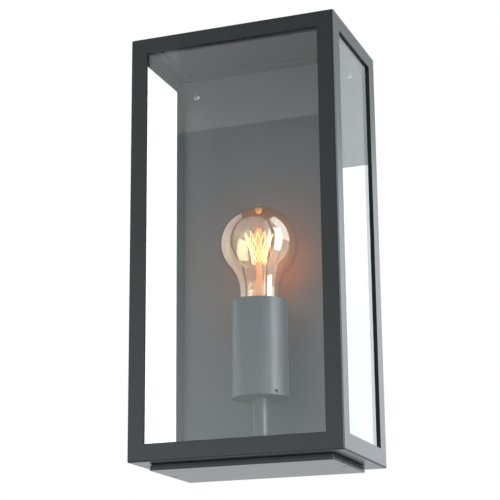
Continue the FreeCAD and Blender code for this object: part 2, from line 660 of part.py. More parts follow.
# Ceramic body with a bored seat for the screw shell and its centre contact.
holder_radius = cup_radius - cup_wall - holder_gap
shell_bore = cap_radius + cap_crest + shell_play
seat_radius = shell_bore + shell_wall
contact_top = foot_low - contact_gap
seat_floor = contact_top - contact_reach
foot_in, foot_up = holder_foot
holder = turned([(0, holder_low), (holder_radius - foot_in, holder_low),
                 (holder_radius, holder_low + foot_up), (holder_radius, holder_high - holder_rim),
                 (holder_radius - holder_rim, holder_high), (0, holder_high)])
holder = holder.cut(rod_z(seat_radius, 0, lamp_y, seat_floor, holder_high + far))
thread_end = holder_low + yoke_grip + nipple_end
holder_thread = rod_z(m3 + thread_play, yoke_screw_x, lamp_y, holder_low - far, thread_end)
save("lampholder_ceramic", cut_both(holder, holder_thread))
shell = tube_z(seat_radius, shell_bore, 0, lamp_y, seat_floor + shell_up, holder_high - holder_rim)
save("screw_shell", shell)
contact = rod_z(contact_plate, 0, lamp_y, seat_floor, seat_floor + contact_sheet)
save("centre_contact", contact.fuse(rod_z(contact_radius, 0, lamp_y, seat_floor, contact_top)))


# ---- lamp ------------------------------------------------------------------------------------------
def envelope(shrink, low_z):
    """Glass body drawn in by shrink: head arc, hollow shoulder arc, straight neck and seat in the cap."""
    head = lamp_radius - shrink
    hollow = (neck_top ** 2 / (lamp_radius - neck_radius) - lamp_radius - neck_radius) / 2
    lean = math.atan2(neck_top, neck_radius + hollow)
    head_arc = [V(head * math.cos(a), lamp_y, centre_z + head * math.sin(a))
                for a in (math.pi / 2, (math.pi / 2 - lean) / 2, -lean)]
    bend = hollow + shrink
    bend_x, bend_z = neck_radius + hollow, centre_z - neck_top
    shoulder = [V(bend_x + bend * math.cos(a), lamp_y, bend_z + bend * math.sin(a))
                for a in (math.pi - lean, math.pi - lean / 2, math.pi)]
    edges = [Part.Arc(*head_arc).toShape(), Part.Arc(*shoulder).toShape()]
    points = [shoulder[2], V(neck_radius - shrink, lamp_y, centre_z - neck_bottom),
              V(glass_neck - shrink, lamp_y, cap_high + cap_plain / 2),
              V(glass_neck - shrink, lamp_y, low_z), V(0, lamp_y, low_z), head_arc[0]]
    edges += [Part.LineSegment(a, b).toShape() for a, b in zip(points, points[1:])]
    face = Part.Face(Part.Wire(Part.__sortEdges__(edges)))
    return face.revolve(V(0, lamp_y, 0), V(0, 0, 1), 360)


head_top = centre_z + lamp_radius
pip = Part.makeCone(pip_foot, pip_end, pip_height + pip_sink - pip_end / 2 + 0.15,
                    V(0, lamp_y, head_top - pip_sink))
pip = pip.fuse(Part.makeSphere(pip_end, V(0, lamp_y, head_top + pip_height - pip_end / 2 + 0.05)))
save("lamp_glass", envelope(0, glass_end).fuse(pip).cut(envelope(lamp_wall, glass_end - far)))

# E27 cap: rolled thread as rounded turns, open at the top where the glass is cemented in.
cap_profile = [(cap_radius, cap_high)]
thread_top = cap_high - cap_plain
thread_turns = int((cap_length - 1.5 * cap_plain) / cap_pitch)
for k in range(thread_turns):
    start = thread_top - k * cap_pitch
    cap_profile += [(cap_radius, start), (cap_radius + cap_crest, start - cap_pitch / 4),
                    (cap_radius, start - cap_pitch / 2), (cap_radius - cap_crest, start - cap_pitch * 3 / 4)]
cap_inside = cap_radius - cap_wall
step_z = glass_end - cap_plain / 4
cap_profile += [(cap_radius - cap_crest, cap_low), (cap_inside - cap_crest, cap_low),
                (cap_inside - cap_crest, step_z - cap_wall), (cap_inside, step_z), (cap_inside, cap_high)]
save("lamp_cap", turned(cap_profile))
foot_top = foot_low + foot_thickness
insulator = [(0, cap_low), (cap_inside - cap_crest, cap_low),
             (foot_radius + cap_plain, foot_top), (0, foot_top)]
save("cap_insulator", turned(insulator))
save("foot_contact", rod_z(foot_radius, 0, lamp_y, foot_low, foot_top))

# Glass stem: flare sealed into the neck, and the rod that carries the hooks.
flare_z = glass_end + flare_up
flare_radius = cap_inside - lamp_wall - flare_gap
hooks_high_z = centre_z + hooks_up
hooks_low_z = centre_z - hooks_down
stem_profile = [(0, flare_z), (flare_radius, flare_z), (flare_radius, flare_z + 1.0)]
stem_profile += [(radius, flare_z + up) for radius, up in flare_shape]
stem_profile += [(stem_radius, flare_z + flare_height), (stem_radius, hooks_high_z - stem_bead),
                 (stem_radius * 1.5, hooks_high_z), (stem_radius, hooks_high_z + stem_tip),
                 (0, hooks_high_z + stem_tip)]
stem = turned(stem_profile)
save("glass_stem", stem)


def ring_point(radius, z, step):
    """Point a number of filament loops round the lamp's axis."""
    angle = 2 * math.pi * step / filament_loops
    return V(radius * math.cos(angle), lamp_y + radius * math.sin(angle), z)


# Hooks: one at each turn of the filament; the ends of the filament hang on the lead wires instead.
hooks = []
for ring, z, shift, count in ((hooks_top_radius, hooks_high_z, 0.0, filament_loops),
                              (hooks_low_radius, hooks_low_z, 0.5, filament_loops - 1)):
    for k in range(count):
        root = ring_point(stem_radius - hook_wire, z, k + shift)
        hooks.append(rod(hook_wire, root, ring_point(ring - 2 * hook_wire, z, k + shift)).cut(stem))
save("filament_hooks", Part.makeCompound(hooks))

# The filament: one wire led up and down over the hooks, with a tight turn at each.
strand_side = hooks_low_radius * math.sin(math.pi / filament_loops)
strand_spread = math.atan(strand_side / (hooks_up + hooks_down))
overshoot = filament_turn / math.sin(strand_spread)
path = [ring_point(hooks_low_radius, hooks_low_z, -0.5 + filament_tail)]
for k in range(filament_loops):
    path.append(ring_point(hooks_top_radius, hooks_high_z + overshoot, k))
    if k < filament_loops - 1:
        path.append(ring_point(hooks_low_radius, hooks_low_z - overshoot, k + 0.5))
path.append(ring_point(hooks_low_radius, hooks_low_z, -0.5 - filament_tail))
save("filament", swept(path, [filament_turn] * (len(path) - 2), filament_wire))

# Lead wires from the stem's pinch up to the two ends of the filament.
leads = []
for step in (-0.5 + filament_tail, -0.5 - filament_tail):
    end = ring_point(hooks_low_radius, hooks_low_z - filament_wire - cement, step)
    leads.append(rod(lead_wire, ring_point(stem_radius + 0.7, flare_z + lead_foot, step), end).cut(stem))
save("lead_wires", Part.makeCompound(leads))

# ---- wiring inside the back plate ------------------------------------------------------------------
terminal_low = bottom + terminal_up
terminal_high = terminal_low + terminal_height
entry_y = -wire_to_wall - wire_step
screw_deep, screw_under = terminal_screw
terminal = block(-terminal_half, terminal_half, pan_inside, -terminal_rear, terminal_low, terminal_high)
pole_screws = []
for x in poles:
    terminal = terminal.cut(rod_z(wire_radius + entry_play, x, entry_y, terminal_low - far,
                                  terminal_low + terminal_entry))
    for z in (terminal_low + terminal_screw_in, terminal_high - terminal_screw_in):
        inner = -terminal_rear - screw_deep
        terminal = terminal.cut(rod_y(m3 + thread_play, x, z, inner, -terminal_rear + far))
        pole_screws.append(rod_y(m3, x, z, inner, -terminal_rear - screw_under))
save("terminal_block", terminal)
save("terminal_screws", Part.makeCompound(pole_screws))


def lead(pole, offset):
    """Insulated wire from a terminal down the back plate, through the arm and up to the lampholder."""
    straight, slant, above_arm = wire_run
    points = [(pole, entry_y, terminal_low), (pole, entry_y, terminal_low - straight),
              (pole / 2, -wire_to_wall, terminal_low - slant), (offset, -wire_to_wall, arm_z + above_arm),
              (offset, -wire_to_wall, arm_z), (offset, lamp_y, arm_z), (offset, lamp_y, holder_low)]
    return swept(points, [*wire_bends, arm_bend], wire_radius)


save("brown_wire", lead(poles[0], -wire_offset))
save("blue_wire", lead(poles[2], wire_offset))

# Earth stud welded to the rear of the back plate, with its tag and nut.
earth_z = bottom + earth_up
save("earth_stud", rod_y(m4, earth_x, earth_z, pan_inside, pan_inside + earth_length))
tag_end = pan_inside + tag_sheet
earth_nut = hexagon(m4_nut, (earth_x, tag_end, earth_z), (earth_x, tag_end + m4_nut_height, earth_z))
save("earth_nut", earth_nut.cut(rod_y(m4 + thread_play, earth_x, earth_z, pan_front, 0)))
tail_half, tail_end, tail_start = tag_tail
tag = tube_y(tag_radius, m4 + stud_play, earth_x, earth_z, pan_inside, tag_end)
tail = block(earth_x - tail_half, earth_x + tail_half, pan_inside, tag_end,
             earth_z - tail_end, earth_z - tail_start)
save("earth_tag", tag.fuse(tail))
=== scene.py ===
import json
import math

import bmesh
import bpy
import numpy as np
from mathutils import Matrix, Vector

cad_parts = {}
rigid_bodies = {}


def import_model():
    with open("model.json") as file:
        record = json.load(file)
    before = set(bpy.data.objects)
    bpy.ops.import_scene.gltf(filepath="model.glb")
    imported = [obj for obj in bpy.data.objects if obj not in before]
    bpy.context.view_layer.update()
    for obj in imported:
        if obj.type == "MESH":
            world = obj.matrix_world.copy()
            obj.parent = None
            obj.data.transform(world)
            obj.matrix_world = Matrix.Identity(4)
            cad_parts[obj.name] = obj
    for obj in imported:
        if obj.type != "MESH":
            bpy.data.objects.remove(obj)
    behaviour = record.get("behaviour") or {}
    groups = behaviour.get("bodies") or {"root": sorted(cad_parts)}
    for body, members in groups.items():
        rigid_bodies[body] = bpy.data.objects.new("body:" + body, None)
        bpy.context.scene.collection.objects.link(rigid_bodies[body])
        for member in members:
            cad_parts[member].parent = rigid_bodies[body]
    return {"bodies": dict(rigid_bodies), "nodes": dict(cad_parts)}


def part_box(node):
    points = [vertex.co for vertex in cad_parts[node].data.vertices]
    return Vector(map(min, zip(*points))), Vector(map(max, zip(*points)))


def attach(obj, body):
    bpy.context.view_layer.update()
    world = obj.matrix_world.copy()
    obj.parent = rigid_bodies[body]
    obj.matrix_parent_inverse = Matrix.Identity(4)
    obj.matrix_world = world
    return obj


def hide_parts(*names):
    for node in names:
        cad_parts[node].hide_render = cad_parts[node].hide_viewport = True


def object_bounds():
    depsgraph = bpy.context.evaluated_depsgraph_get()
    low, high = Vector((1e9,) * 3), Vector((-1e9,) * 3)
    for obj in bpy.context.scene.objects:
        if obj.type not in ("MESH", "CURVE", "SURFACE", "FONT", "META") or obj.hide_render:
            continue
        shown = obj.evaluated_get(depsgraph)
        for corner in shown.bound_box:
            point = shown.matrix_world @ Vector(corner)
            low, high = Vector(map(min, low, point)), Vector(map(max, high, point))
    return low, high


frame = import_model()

cad_low, cad_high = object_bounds()


# ---- Wall straps, their bushes and the foam strip ----------------------------------------------------
# Two zinc-plated steel straps screwed to the wall through slots, with threaded bushes pressed on for the
# back plate's screws. A strip of closed-cell foam lies between the back plate's rim and the wall.
def finish(name, colour, rough, metal=0.0, mottle=0.08, patch=60.0, grain=1500.0, relief=0.1,
           height=0.00002, drift=0.06):
    """One surface finish. Its colour drifts between a darker and a lighter shade over soft patches, its
    gloss varies with a fine grain, and the same grain stands out of the surface by a small height."""
    material = bpy.data.materials.new(name)
    material.use_nodes = True
    nodes, links = material.node_tree.nodes, material.node_tree.links
    shader = nodes["Principled BSDF"]
    place = nodes.new("ShaderNodeTexCoord")
    cloud = nodes.new("ShaderNodeTexNoise")
    cloud.inputs["Scale"].default_value = patch
    cloud.inputs["Detail"].default_value = 3.0
    # A Mix node's sockets 6 and 7 are its two colours, and 2 and 3 its two numbers.
    shades = nodes.new("ShaderNodeMix")
    shades.data_type = "RGBA"
    shades.inputs[6].default_value = (*[c * (1 - mottle) for c in colour], 1)
    shades.inputs[7].default_value = (*[min(1.0, c * (1 + mottle)) for c in colour], 1)
    fine = nodes.new("ShaderNodeTexNoise")
    fine.inputs["Scale"].default_value = grain
    fine.inputs["Detail"].default_value = 2.0
    gloss = nodes.new("ShaderNodeMapRange")
    gloss.inputs["To Min"].default_value = max(0.02, rough - drift)
    gloss.inputs["To Max"].default_value = min(1.0, rough + drift)
    bump = nodes.new("ShaderNodeBump")
    bump.inputs["Strength"].default_value = relief
    bump.inputs["Distance"].default_value = height
    links.new(place.outputs["Object"], cloud.inputs["Vector"])
    links.new(place.outputs["Object"], fine.inputs["Vector"])
    links.new(cloud.outputs["Fac"], shades.inputs[0])
    links.new(shades.outputs[2], shader.inputs["Base Color"])
    links.new(fine.outputs["Fac"], gloss.inputs["Value"])
    links.new(gloss.outputs["Result"], shader.inputs["Roughness"])
    links.new(fine.outputs["Fac"], bump.inputs["Height"])
    links.new(bump.outputs["Normal"], shader.inputs["Normal"])
    shader.inputs["Metallic"].default_value = metal
    return material


def dress(material, *parts):
    """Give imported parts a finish."""
    for part in parts:
        for slot in frame["nodes"][part].material_slots:
            slot.material = material


zinc = finish("zinc_plate", (0.62, 0.63, 0.65), 0.34, metal=1.0, mottle=0.14, patch=220, grain=900,
              relief=0.25)
dress(zinc, "upper_wall_strap", "lower_wall_strap", "strap_bushes")
foam = finish("black_foam", (0.012, 0.012, 0.013), 0.9, mottle=0.25, patch=500, grain=2600, relief=0.8,
              height=0.0001)
dress(foam, "wall_gasket")

# ---- Back plate --------------------------------------------------------------------------------------
# A shallow pan of folded steel sheet with its rim to the wall, in the cage's satin powder coat painted a
# lighter
# grey: painted light, standing in for the brighter light and the pane's reflected veil over the inside.
# Pan-head steel screws near its corners go through the plate into the bushes.
lightened_inner_coat = finish("inner_coat_painted_lighter", (0.056, 0.070, 0.0735), 0.33, mottle=0.05, patch=26, grain=1700,
                    relief=0.012, height=0.00002, drift=0.02)
lightened_inner_coat.node_tree.nodes["Principled BSDF"].inputs["IOR"].default_value = 1.45
dress(lightened_inner_coat, "back_plate")
plated_steel = finish("bright_steel_screws", (0.60, 0.60, 0.59), 0.3, metal=1.0, mottle=0.1, patch=400,
                      grain=1200)
dress(plated_steel, "back_plate_screws")

# ---- Terminal block, wires and earth stud ------------------------------------------------------------
# White nylon block whose plated screws clamp two insulated wires, which run down behind the back plate and
# through the arm. A brass earth stud on the plate's rear takes a tag under a nut.
dress(finish("white_nylon", (0.78, 0.77, 0.73), 0.45, mottle=0.03, patch=120, grain=900), "terminal_block")
dress(plated_steel, "terminal_screws")
dress(finish("brown_insulation", (0.10, 0.035, 0.014), 0.4, mottle=0.1, patch=300), "brown_wire")
dress(finish("blue_insulation", (0.018, 0.07, 0.27), 0.4, mottle=0.1, patch=300), "blue_wire")
brass = finish("yellow_brass", (0.83, 0.62, 0.30), 0.28, metal=1.0, mottle=0.12, patch=300, grain=1100)
dress(brass, "earth_stud", "earth_nut", "earth_tag")

# ---- Arm and lampholder cup --------------------------------------------------------------------------
# Steel tube bent up through a right angle from a round flange, and a spun steel cup, all in the back
# plate's powder coat, painted lighter than the cage's as painted light. Brass nipples with zinc-plated nuts
# join them. A glazed ceramic lampholder with a nickel-plated shell stands in the cup on a zinc-plated
# strip.
dress(lightened_inner_coat, "arm_flange", "lamp_arm", "lampholder_cup")
dress(zinc, "arm_washer", "arm_nut", "cup_nut", "holder_yoke", "holder_spacers")
dress(brass, "rear_nipple", "cup_nipple", "centre_contact")
dress(plated_steel, "holder_screws")
ceramic = finish("glazed_ceramic", (0.80, 0.78, 0.72), 0.18, mottle=0.03, patch=90, grain=700)
dress(ceramic, "lampholder_ceramic")
dress(finish("nickel_shell", (0.70, 0.66, 0.58), 0.26, metal=1.0, patch=300), "screw_shell")


# ---- Lamp glass --------------------------------------------------------------------------------------
# Thin clear glass with a faint gold tint, blown to a round head on a neck, with the sealed tip of its
# pumping tube on top. It is open below, where it is cemented into the cap.
def surface(name, grid, around=False, closed=False):
    """One closed or open sheet of faces over a grid of points. Points along the first side of the grid
    are one ring after another; around joins the last point of a ring to its first, closed joins the last
    ring to the first. Points that fall together, as at a pole, are merged, and the faces are turned
    outwards."""
    rings, steps = grid.shape[:2]
    places = np.arange(rings * steps).reshape(rings, steps)
    if around:
        places = np.concatenate([places, places[:, :1]], axis=1)
    if closed:
        places = np.concatenate([places, places[:1]], axis=0)
    quads = np.stack([places[:-1, :-1], places[:-1, 1:], places[1:, 1:], places[1:, :-1]], axis=-1)
    return settle(name, grid.reshape(-1, 3), quads.reshape(-1, 4))


def settle(name, points, faces):
    """A smooth mesh object from points and faces, its doubles merged and its faces turned outwards."""
    mesh = bpy.data.meshes.new(name)
    mesh.from_pydata(points.tolist(), [], faces.tolist())
    shape = bmesh.new()
    shape.from_mesh(mesh)
    bmesh.ops.remove_doubles(shape, verts=shape.verts, dist=1e-6)
    bmesh.ops.dissolve_degenerate(shape, edges=shape.edges, dist=1e-7)
    bmesh.ops.recalc_face_normals(shape, faces=shape.faces)
    shape.to_mesh(mesh)
    shape.free()
    mesh.polygons.foreach_set("use_smooth", np.ones(len(mesh.polygons), bool))
    mesh.set_sharp_from_angle(angle=math.radians(38))
    piece = bpy.data.objects.new(name, mesh)
    bpy.context.scene.collection.objects.link(piece)
    return piece


def turned(name, profile, steps=96):
    """A shape turned about the lamp's upright axis: each (radius, height) point of the profile goes round
    a circle, at radius * cos and radius * sin from the axis."""
    angle = np.linspace(0, 2 * math.pi, steps, endpoint=False)
    radius, height = np.asarray(profile, float).T
    ring = np.stack([np.cos(angle), np.sin(angle)], axis=-1)
    grid = np.empty((len(radius), steps, 3))
    grid[..., :2] = radius[:, None, None] * ring + lamp_axis
    grid[..., 2] = height[:, None]
    return surface(name, grid, around=True)


glass_low, glass_high = map(np.array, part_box("lamp_glass"))
lamp_axis = (glass_low[:2] + glass_high[:2]) / 2
head_radius = (glass_high[0] - glass_low[0]) / 2
tip_height = 0.0034
head_height = glass_high[2] - tip_height - head_radius
cap_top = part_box("lamp_cap")[1].z
neck_radius, neck_start, neck_end = 0.0155, head_height - 0.038, head_height - 0.046
seat_radius, seat_rise = 0.0125, 0.001
glass_wall = 0.0007


def blown(shrink, count=72):
    """Outline of the glass from the top down, drawn in by shrink: a round head, a hollow shoulder tangent
    to it, a straight neck, and a slope to the seat in the cap."""
    drop = head_height - neck_start
    hollow = (drop ** 2 / (head_radius - neck_radius) - head_radius - neck_radius) / 2
    lean = math.atan2(drop, neck_radius + hollow)
    head = np.linspace(math.pi / 2, -lean, count)
    radius = (head_radius - shrink) * np.cos(head)
    height = head_height + (head_radius - shrink) * np.sin(head)
    bend = np.linspace(math.pi - lean, math.pi, count // 2)
    shoulder = np.stack([neck_radius + hollow + (hollow + shrink) * np.cos(bend),
                         neck_start + (hollow + shrink) * np.sin(bend)], axis=-1)
    slope = np.linspace(0, 1, 12)
    ease = slope * slope * (3 - 2 * slope)
    neck = np.stack([neck_radius - shrink - (neck_radius - seat_radius) * ease,
                     neck_end + (cap_top + seat_rise - neck_end) * slope], axis=-1)
    foot = np.array([[seat_radius - shrink, glass_low[2]]])
    top = np.stack([np.maximum(radius, 0), height], axis=-1)
    top[0, 0] = 0
    return np.concatenate([top, shoulder[1:], neck, foot])


lamp_outline = np.concatenate([blown(0), blown(glass_wall)[::-1]])
lamp_bulb = turned("blown_lamp_glass", lamp_outline)
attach(lamp_bulb, "lamp")
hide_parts("lamp_glass")


def clear(name, tint, rim, ripple, spread):
    """Glass that lets lamps through: refracting to the eye, plain tinted air to lamps and soft light.
    Its colour goes from a tint face-on to another at the rim, where more glass lies in the way, and a
    slow ripple stands in its surface."""
    material = bpy.data.materials.new(name)
    material.use_nodes = True
    nodes, links = material.node_tree.nodes, material.node_tree.links
    shader = nodes["Principled BSDF"]
    shader.inputs["Transmission Weight"].default_value = 1.0
    shader.inputs["Roughness"].default_value = 0.0
    shader.inputs["IOR"].default_value = 1.5
    edge = nodes.new("ShaderNodeLayerWeight")
    edge.inputs["Blend"].default_value = 0.35
    colour = nodes.new("ShaderNodeMix")
    colour.data_type = "RGBA"
    colour.inputs[6].default_value = (*tint, 1)
    colour.inputs[7].default_value = (*rim, 1)
    links.new(edge.outputs["Facing"], colour.inputs[0])
    links.new(colour.outputs[2], shader.inputs["Base Color"])
    place = nodes.new("ShaderNodeTexCoord")
    wave = nodes.new("ShaderNodeTexNoise")
    wave.inputs["Scale"].default_value = spread
    wave.inputs["Detail"].default_value = 1.0
    bump = nodes.new("ShaderNodeBump")
    bump.inputs["Strength"].default_value = 1.0
    bump.inputs["Distance"].default_value = ripple
    links.new(place.outputs["Object"], wave.inputs["Vector"])
    links.new(wave.outputs["Fac"], bump.inputs["Height"])
    links.new(bump.outputs["Normal"], shader.inputs["Normal"])
    rays = nodes.new("ShaderNodeLightPath")
    either = nodes.new("ShaderNodeMath")
    either.operation = "MAXIMUM"
    links.new(rays.outputs["Is Shadow Ray"], either.inputs[0])
    links.new(rays.outputs["Is Diffuse Ray"], either.inputs[1])
    through = nodes.new("ShaderNodeBsdfTransparent")
    through.inputs["Color"].default_value = (*[0.5 + 0.5 * c for c in tint], 1)
    choose = nodes.new("ShaderNodeMixShader")
    links.new(either.outputs[0], choose.inputs[0])
    links.new(shader.outputs[0], choose.inputs[1])
    links.new(through.outputs[0], choose.inputs[2])
    links.new(choose.outputs[0], nodes["Material Output"].inputs["Surface"])
    return material


gold_glass = clear("gold_tinted_glass", (0.99, 0.95, 0.74), (0.78, 0.50, 0.24), ripple=0.00003, spread=60)
gold_shader = gold_glass.node_tree.nodes["Principled BSDF"]
gold_shader.inputs["Transmission Weight"].default_value = 0.99
gold_shader.inputs["Coat Weight"].default_value = 0.9
gold_shader.inputs["Coat IOR"].default_value = 1.7
gold_shader.inputs["Coat Roughness"].default_value = 0.02
lamp_bulb.data.materials.append(gold_glass)

# The tip: a drop of the same glass on the crown where the pumping tube was melted shut, and the short
# end of that tube inside. The drop swells as e to minus the cube of the way out over its spread, and the
# tube's end is round, as the root of one less a power of the way out.
crown_top = head_height + head_radius
out = np.linspace(1, 0, 28)


def crown(radius, gap):
    """Height at a radius from the axis, gap above the head's crown: its top, less the radius squared over
    twice the head's radius."""
    return crown_top + gap - radius ** 2 / (2 * head_radius)


# Where two surfaces of glass would fall together, they stay a film apart.
film = 0.00002
tip_radius, tip_rise, tip_spread = 0.0033 * out, 0.0022, 0.66
tip_swell = tip_rise * np.exp(-(out / tip_spread) ** 3.0) * (1 - out ** 4)
drop_top = np.stack([tip_radius, crown(tip_radius, 2 * film) + tip_swell], axis=-1)
drop_foot = np.stack([tip_radius[::-1], crown(tip_radius[::-1], film)], axis=-1)
tip = turned("sealed_glass_tip", np.concatenate([drop_foot[:-1], drop_top]), steps=40)
root_radius, root_drop, root_wall = 0.0027 * out, 0.0042, 0.0002
root_top = np.stack([root_radius, crown(root_radius, -glass_wall - 2 * film)], axis=-1)
root_low = np.stack([root_radius[::-1], crown(root_radius[::-1], -glass_wall - root_wall)
                     - root_drop * np.sqrt(1 - out[::-1] ** 2.4)], axis=-1)
tip_root = turned("pumping_tube_end", np.concatenate([root_low, root_top[1:]]), steps=40)
for piece in (tip, tip_root):
    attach(piece, "lamp")
# The tube end's amber colour is painted glow, standing in for the filament's light in it; the light it
# scatters inside is real.
glow_tinted_tube_glass = finish("tube_glass_painted_amber_glow", (0.95, 0.62, 0.30), 0.12, mottle=0.1, patch=400, grain=900,
                    relief=0.05)
tube_shader = glow_tinted_tube_glass.node_tree.nodes["Principled BSDF"]
tube_shader.inputs["Subsurface Weight"].default_value = 1.0
tube_shader.inputs["Subsurface Radius"].default_value = (0.004, 0.002, 0.001)
tube_shader.inputs["Subsurface Scale"].default_value = 1.0
tube_shader.inputs["Transmission Weight"].default_value = 0.3
tip.data.materials.append(gold_glass)
tip_root.data.materials.append(glow_tinted_tube_glass)

# ---- Glass stem --------------------------------------------------------------------------------------
# Drawn glass: a flare sealed into the neck, waisted up into a rod with a bead that holds the hooks. Its
# tint is the amber that the filament's light gives it.
stem_low, stem_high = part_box("glass_stem")
hooks_low, hooks_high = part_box("filament_hooks")
flare_radius = (stem_high.x - stem_low.x) / 2
# Outline of the flare in parts of its radius and of the stem's length.
stem_points = np.array([(0, 0), (0.4, 0), (0.97, 0), (1.0, 0.012), (0.98, 0.03), (0.80, 0.05),
                        (0.62, 0.085), (0.50, 0.13), (0.44, 0.20), (0.40, 0.27), (0.33, 0.35),
                        (0.235, 0.42), (0.20, 0.48)])
stem_run = stem_high.z - stem_low.z
stem_outline = stem_points * (flare_radius, stem_run) + (0, stem_low.z)
rod_radius, dome_rise = 0.0023, 0.0008
bead_drop, bead_swell, bead_reach = 0.0032, 0.0011, 0.0015
bead = np.linspace(-1, 1, 21)
bead_height = hooks_high.z - bead_drop
bead_radius = rod_radius + bead_swell * np.cos(bead * math.pi / 2) ** 2
bead_outline = np.stack([bead_radius, bead_height + bead * bead_reach], axis=-1)
dome = np.linspace(0, math.pi / 2, 9)
dome_level = stem_high.z - dome_rise + dome_rise * np.sin(dome)
dome_outline = np.stack([rod_radius * np.cos(dome), dome_level], axis=-1)
dome_outline[-1, 0] = 0
stem = turned("drawn_glass_stem", np.concatenate([stem_outline, bead_outline, dome_outline]), steps=40)
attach(stem, "lamp")
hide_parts("glass_stem")
stem_glass = clear("stem_glass", (1.0, 0.54, 0.12), (0.88, 0.42, 0.08), ripple=0.00002, spread=300)
stem_glass.node_tree.nodes["Principled BSDF"].inputs["Transmission Weight"].default_value = 0.6
stem.data.materials.append(stem_glass)


# ---- Filament ----------------------------------------------------------------------------------------
# One fine glowing wire led up and down over two rings of hooks, aslant, so that its strands cross. The
# hooks are set in the stem, and two stouter leads from its flare carry the ends of the wire.
def wires(name, lines, towards, radius, sides=6):
    """Round wires along lines of points, all in one mesh. Each ring of a wire lies square to the line's
    own direction there, taken from its neighbours, and its two arms are the given outward direction made
    square to the line, and the cross product of the two. The ends are closed on their middle points."""
    along = np.gradient(lines, axis=1)
    along /= np.linalg.norm(along, axis=-1, keepdims=True)
    arm = towards - along * np.sum(towards * along, axis=-1, keepdims=True)
    arm /= np.linalg.norm(arm, axis=-1, keepdims=True)
    other = np.cross(along, arm)
    angle = np.linspace(0, 2 * math.pi, sides, endpoint=False)
    size = np.full(lines.shape[1] + 2, radius)
    size[[0, -1]] = 0
    pad = ((0, 0), (1, 1), (0, 0))
    centre, arm, other = (np.pad(a, pad, mode="edge")[:, :, None] for a in (lines, arm, other))
    turn = np.cos(angle)[:, None] * arm + np.sin(angle)[:, None] * other
    grid = centre + size[:, None, None] * turn
    count, rings = grid.shape[:2]
    places = np.arange(count * rings * sides).reshape(count, rings, sides)
    places = np.concatenate([places, places[:, :, :1]], axis=2)
    quads = np.stack([places[:, :-1, :-1], places[:, :-1, 1:], places[:, 1:, 1:], places[:, 1:, :-1]],
                     axis=-1)
    return settle(name, grid.reshape(-1, 3), quads.reshape(-1, 4))


loops = 12
top_radius, low_radius = 0.0112, 0.0056
top_inset, low_inset = 0.0030, 0.0002
top_hooks, low_hooks = hooks_high.z - top_inset, hooks_low.z + low_inset
slant = 2.5
filament_radius = 0.00007


def round_axis(radius, height, step):
    """Points at a radius from the lamp's axis, a number of hook spacings round it, at a height."""
    angle = 2 * math.pi * step / loops
    return np.stack([lamp_axis[0] + radius * np.cos(angle), lamp_axis[1] + radius * np.sin(angle),
                     height + 0 * radius * angle], axis=-1)


# Each strand runs straight from hook to hook but bows in or out by under half a millimetre in turn, as a
# power of a sine, which keeps the crossing strands apart. Both ends hang at one place on the lower ring, a
# little way apart, each on its own lead.
strand = np.linspace(0, 1, 17)
fall = np.arange(loops)[:, None] * 2 * slant
below, above, below_next = fall + 0 * strand, fall + slant + 0 * strand, fall + 2 * slant + 0 * strand
end_gap = 0.22
below[0], below_next[-1] = below[0] + end_gap, below_next[-1] - end_gap
rising = (round_axis(low_radius, low_hooks, below) * (1 - strand)[:, None]
          + round_axis(top_radius, top_hooks, above) * strand[:, None])
falling = (round_axis(top_radius, top_hooks, above) * (1 - strand)[:, None]
           + round_axis(low_radius, low_hooks, below_next) * strand[:, None])
bow_depth = 0.00045
bow = bow_depth * np.sin(math.pi * strand) ** 0.7


def out_from_axis(points):
    """Level direction away from the lamp's axis at each point."""
    away = points - np.array([*lamp_axis, 0])
    away[..., 2] = 0
    return away / np.linalg.norm(away, axis=-1, keepdims=True)


rising = rising + out_from_axis(rising) * bow[:, None]
falling = falling - out_from_axis(falling) * bow[:, None]
turns_of_wire = np.concatenate([rising[:, :-1], falling[:, :-1]], axis=1).reshape(-1, 3)
filament_line = np.concatenate([turns_of_wire, falling[-1, -1:]])[None]
filament = wires("glowing_filament", filament_line, out_from_axis(filament_line), filament_radius)
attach(filament, "lamp")
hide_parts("filament")
glow = finish("glowing_carbon", (0.9, 0.5, 0.2), 0.5)
glow.node_tree.nodes["Principled BSDF"].inputs["Emission Color"].default_value = (1.0, 0.66, 0.32, 1)
glow.node_tree.nodes["Principled BSDF"].inputs["Emission Strength"].default_value = 6.0
filament.data.materials.append(glow)
warmth = bpy.data.lights.new("filament_warmth", "POINT")
warmth.energy, warmth.color, warmth.shadow_soft_size = 0.24, (1.0, 0.17, 0.01), 0.009
warm_lamp = bpy.data.objects.new("filament_warmth", warmth)
bpy.context.scene.collection.objects.link(warm_lamp)
warm_lamp.location = (*lamp_axis, (top_hooks + low_hooks) / 2)
warm_lamp.visible_camera = warm_lamp.visible_glossy = warm_lamp.visible_transmission = False
warm_lamp.parent = frame["bodies"]["lamp"]

# Hooks: straight wires set in the stem, each ending in a small eye round the filament.
curl_angle = np.linspace(0, 1.5 * math.pi, 10)
eye, hook_root, hook_radius = 0.00034, 0.0020, 0.00013


def hook_lines(radius, height, shift, count):
    """Level wires from inside the stem out to a radius, each ending in most of a circle of the eye's
    radius, cos inwards and sin upwards, round the filament."""
    step = (np.arange(count) + shift)[:, None]
    straight = round_axis(np.linspace(hook_root, radius - eye, 6), height, step)
    curl = round_axis(radius - eye * np.cos(curl_angle), height + eye * np.sin(curl_angle), step)
    return np.concatenate([straight, curl], axis=1)


high_hooks = hook_lines(top_radius, top_hooks, slant, loops)
under_hooks = hook_lines(low_radius, low_hooks, 1.0, loops - 1)
hook_set = np.concatenate([high_hooks, under_hooks])
nearly_up = np.broadcast_to((0, 0, 1.0), hook_set.shape) + 0.001
hooks = wires("wire_hooks", hook_set, nearly_up, hook_radius, sides=5)
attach(hooks, "lamp")
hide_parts("filament_hooks")
hook_metal = finish("molybdenum_wire", (0.42, 0.39, 0.35), 0.35, metal=1.0, patch=900)
hooks.data.materials.append(hook_metal)

